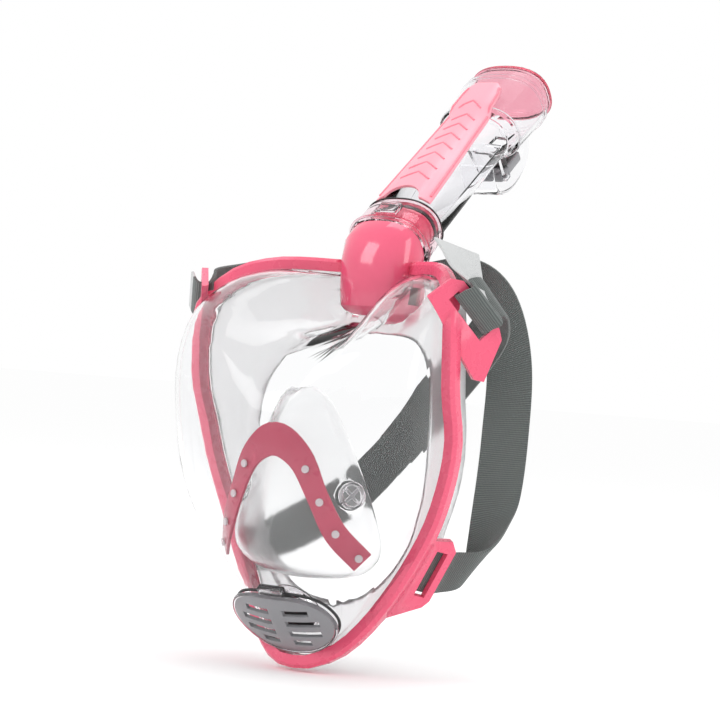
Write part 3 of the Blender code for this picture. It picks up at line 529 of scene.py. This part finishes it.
coral_edge = plastic(
    "coral_edge_plastic", (0.93, 0.22, 0.29), (0.86, 0.17, 0.24), 0.25, 0.38, 0.1, 0.2
)
for side, word in ((-1, "right"), (1, "left")):
    rail = []
    for step in range(60):
        along = 10 + 122 * step / 59
        rail.append(trim_face(side * (between(trim_sizes, along, 1) - 1.0), along))
    edge = round_bead(f"trim_edge_{word}", rail, 0.0009, "snorkel")
    edge.data.materials.append(coral_edge)
for number in range(8):
    middle = 27 + 12 * number
    reach = 0.55 * between(trim_sizes, middle, 1)
    chevron = [trim_face(reach * step / 6, middle + 5 - 7 * abs(step) / 6) for step in range(-6, 7)]
    rib = round_bead(f"trim_rib_{number + 1}", chevron, 0.0008, "snorkel")
    rib.data.materials.append(coral_edge)


# Head straps: two bands of woven elastic, 29 mm wide, each folded round the bar of an upper
# lug, taken round behind the head and threaded into the lower lug on the other side.
def weave_group():
    """Crosswise ribs and lengthwise threads of woven elastic, from a UV map in centimetres, with
    painted shade darkening the gaps between the ribs.
    """
    group = bpy.data.node_groups.new("elastic_weave", "ShaderNodeTree")
    socket(group, "Thread", "NodeSocketColor", "INPUT")
    socket(group, "Gap Shade", "NodeSocketColor", "INPUT")
    socket(group, "End Colour", "NodeSocketColor", "INPUT")
    socket(group, "End Length", "NodeSocketFloat", "INPUT", 0)
    socket(group, "Colour", "NodeSocketColor", "OUTPUT")
    socket(group, "Roughness", "NodeSocketFloat", "OUTPUT")
    socket(group, "Height", "NodeSocketFloat", "OUTPUT")
    tree = group.nodes
    wire = group.links.new
    inlet = tree.new("NodeGroupInput")
    outlet = tree.new("NodeGroupOutput")
    place = tree.new("ShaderNodeTexCoord")
    waves = []
    for way, pitch in (("Y", 2.4), ("X", 3.6)):
        wave = tree.new("ShaderNodeTexWave")
        wave.bands_direction = way
        wave.inputs["Scale"].default_value = pitch
        wave.inputs["Distortion"].default_value = 0.6
        wave.inputs["Detail"].default_value = 2
        wire(place.outputs["UV"], wave.inputs["Vector"])
        waves.append(wave)
    lift = tree.new("ShaderNodeMath")
    lift.operation = "MULTIPLY_ADD"
    wire(waves[0].outputs["Fac"], lift.inputs[0])
    lift.inputs[1].default_value = 0.7
    weft = tree.new("ShaderNodeMath")
    weft.operation = "MULTIPLY"
    wire(waves[1].outputs["Fac"], weft.inputs[0])
    weft.inputs[1].default_value = 0.3
    wire(weft.outputs["Value"], lift.inputs[2])
    fuzz = tree.new("ShaderNodeTexNoise")
    fuzz.inputs["Scale"].default_value = 40
    fuzz.inputs["Detail"].default_value = 4
    wire(place.outputs["UV"], fuzz.inputs["Vector"])
    blend = tree.new("ShaderNodeMath")
    blend.operation = "MULTIPLY_ADD"
    wire(fuzz.outputs["Fac"], blend.inputs[0])
    blend.inputs[1].default_value = 0.35
    wire(lift.outputs["Value"], blend.inputs[2])
    wire(blend.outputs["Value"], outlet.inputs["Height"])
    # Painted shade: the colour falls to the darker gap colour where the weave's relief is low.
    tone = tree.new("ShaderNodeMix")
    tone.data_type = "RGBA"
    wire(lift.outputs["Value"], tone.inputs["Factor"])
    wire(inlet.outputs["Gap Shade"], tone.inputs[6])
    wire(inlet.outputs["Thread"], tone.inputs[7])
    split = tree.new("ShaderNodeSeparateXYZ")
    wire(place.outputs["UV"], split.inputs["Vector"])
    is_end = tree.new("ShaderNodeMath")
    is_end.operation = "LESS_THAN"
    wire(split.outputs["Y"], is_end.inputs[0])
    wire(inlet.outputs["End Length"], is_end.inputs[1])
    ended = tree.new("ShaderNodeMix")
    ended.data_type = "RGBA"
    wire(is_end.outputs["Value"], ended.inputs["Factor"])
    wire(tone.outputs[2], ended.inputs[6])
    wire(inlet.outputs["End Colour"], ended.inputs[7])
    wire(ended.outputs[2], outlet.inputs["Colour"])
    rough = tree.new("ShaderNodeMapRange")
    wire(fuzz.outputs["Fac"], rough.inputs["Value"])
    rough.inputs["To Min"].default_value = 0.78
    rough.inputs["To Max"].default_value = 0.95
    wire(rough.outputs["Result"], outlet.inputs["Roughness"])
    return group


elastic_weave = weave_group()


def webbing(name, end_length):
    material = bpy.data.materials.new(name)
    material.use_nodes = True
    tree = material.node_tree
    shader = tree.nodes["Principled BSDF"]
    weave = tree.nodes.new("ShaderNodeGroup")
    weave.node_tree = elastic_weave
    weave.inputs["Thread"].default_value = (0.155, 0.172, 0.166, 1)
    # The darker gap colour is painted shade in the recesses of the weave, not a thread colour.
    weave.inputs["Gap Shade"].default_value = (0.055, 0.066, 0.062, 1)
    weave.inputs["End Colour"].default_value = (0.56, 0.57, 0.57, 1)
    weave.inputs["End Length"].default_value = end_length
    relief = tree.nodes.new("ShaderNodeBump")
    relief.inputs["Distance"].default_value = 0.0004
    relief.inputs["Strength"].default_value = 0.8
    tree.links.new(weave.outputs["Colour"], shader.inputs["Base Color"])
    tree.links.new(weave.outputs["Roughness"], shader.inputs["Roughness"])
    tree.links.new(weave.outputs["Height"], relief.inputs["Height"])
    tree.links.new(relief.outputs["Normal"], shader.inputs["Normal"])
    shader.inputs["Sheen Weight"].default_value = 0.25
    return material


def lug_places(lug, side, path):
    """Stations of a strap, from distances outwards and forwards of a lug's slot."""
    centre, slot_way, out_way = (Vector(part) for part in lug)
    slot_way.normalize()
    out_way = (out_way - slot_way * out_way.dot(slot_way)).normalized()
    face = slot_way.cross(out_way)
    if face.y > 0:
        face = -face
    stations = []
    for out, front in path:
        place = centre + out_way * out + face * front
        way = (slot_way.x * side, slot_way.y, slot_way.z)
        stations.append(((place.x * side, place.y, place.z), way))
    return stations


def eased(values, share, k):
    """A place on the smooth curve through the values, a share of the way on from number k."""
    a, b, c, d = (Vector(values[max(0, min(len(values) - 1, k + j))]) for j in (-1, 0, 1, 2))
    if k == 0:
        a = b * 2 - c
    if k == len(values) - 2:
        d = c * 2 - b
    bend = 2 * a - 5 * b + 4 * c - d
    twist = 3 * (b - c) + d - a
    return b + 0.5 * share * (c - a + share * (bend + share * twist))


def strap(name, node, stations, material):
    """A band with rounded selvedges through the stations, its UV map in centimetres."""
    places = [place for place, _ in stations]
    ways = [tuple(Vector(way).normalized()) for _, way in stations]
    path, wide = [], []
    for k in range(len(stations) - 1):
        for step in range(8):
            path.append(eased(places, step / 8, k))
            wide.append(eased(ways, step / 8, k).normalized())
    path.append(Vector(places[-1]))
    wide.append(Vector(ways[-1]))
    profile = []
    for across in (-14.5, -14.2, -9, -4.5, 0, 4.5, 9, 14.2, 14.5):
        profile.append((across, 0.35 if abs(across) == 14.5 else 0.9))
    profile += [(across, -thick) for across, thick in profile[::-1]]
    verts, along = [], [0.0]
    for k, place in enumerate(path):
        ahead = (path[min(k + 1, len(path) - 1)] - path[max(k - 1, 0)]).normalized()
        face = ahead.cross(wide[k]).normalized()
        for across, thick in profile:
            verts.append((place + wide[k] * across + face * thick) / 1000)
        if k:
            along.append(along[-1] + (place - path[k - 1]).length / 10)
    size = len(profile)
    faces = []
    for k in range(len(path) - 1):
        for j in range(size):
            after = (j + 1) % size
            ring, ahead_ring = k * size, (k + 1) * size
            faces.append((ring + j, ring + after, ahead_ring + after, ahead_ring + j))
    faces.append(tuple(range(size))[::-1])
    faces.append(tuple(range(len(verts) - size, len(verts))))
    mesh = bpy.data.meshes.new(name)
    mesh.from_pydata(verts, [], faces)
    uv = mesh.uv_layers.new(name="along_the_band")
    for corner in mesh.loops:
        ring, spot = divmod(corner.vertex_index, size)
        uv.data[corner.index].uv = (profile[spot][0] / 10, along[ring])
    band = bpy.data.objects.new(name, mesh)
    scene.collection.objects.link(band)
    bpy.ops.object.select_all(action="DESELECT")
    bpy.context.view_layer.objects.active = band
    band.select_set(True)
    bpy.ops.object.mode_set(mode="EDIT")
    bpy.ops.mesh.select_all(action="SELECT")
    bpy.ops.mesh.normals_make_consistent(inside=False)
    bpy.ops.object.mode_set(mode="OBJECT")
    bpy.ops.object.shade_smooth_by_angle(angle=math.radians(40))
    band.data.materials.append(material)
    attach(band, "mask")
    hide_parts(node)


upper_lug = ((95.6, -0.7, 91.9), (0.41, 0.56, -0.72), (0.465, 0.55, 0.69))
lower_lug = ((68, 24, -62), (-0.46, 0, -0.89), (0.38, 0.90, -0.20))
fold = (
    (12, 7.4), (5.5, 5.6), (2.4, 3.4), (1.4, 0), (2.6, -3.2), (6, -5), (11, -6.5), (16, -8.5),
)
anchor = ((18, -8), (10, -5), (3, -3.6), (-5, -3.6))
over = [
    *lug_places(upper_lug, -1, fold),
    ((-94, 32, 110), (-0.5, 0.7, -0.5)), ((-78, 58, 120), (-0.5, 0.8, -0.2)),
    ((-46, 86, 124), (-0.52, 0.84, 0)), ((-8, 108, 122), (-0.45, 0.85, -0.3)),
    ((28, 114, 121), (-0.45, 0.35, -0.8)), ((58, 103, 103), (-0.6, -0.1, -0.78)),
    ((76, 90, 66), (-0.78, -0.5, -0.35)), ((80, 84, 22), (-0.83, -0.54, 0.0)),
    ((80, 80, -14), (-0.83, -0.54, -0.1)), ((80, 72, -38), (-0.80, -0.34, -0.5)),
    ((80, 58, -58), (-0.60, 0.0, -0.80)), *lug_places(lower_lug, 1, anchor),
]
under = [
    ((77, 12, 133), (0.72, 0.62, -0.28)), ((83, 9, 124), (0.6, 0.62, -0.45)),
    ((91, 5, 112), (0.5, 0.6, -0.6)), *lug_places(upper_lug, 1, fold),
    ((98, 26, 103), (0.43, 0.45, -0.76)), ((86, 46, 86), (0.47, 0.3, -0.82)),
    ((46, 68, 50), (0.62, 0.1, -0.78)), ((14, 78, 16), (0.68, 0.0, -0.72)),
    ((-20, 80, -18), (0.5, 0.0, -0.86)), ((-56, 74, -44), (0.35, 0.0, -0.93)),
    ((-78, 58, -60), (0.44, 0, -0.89)), *lug_places(lower_lug, -1, anchor),
]
strap("woven_strap_over", "strap_right_to_left", over, webbing("webbing_plain", 0.5))
strap("woven_strap_under", "strap_left_to_right", under, webbing("webbing_tailed", 4.2))
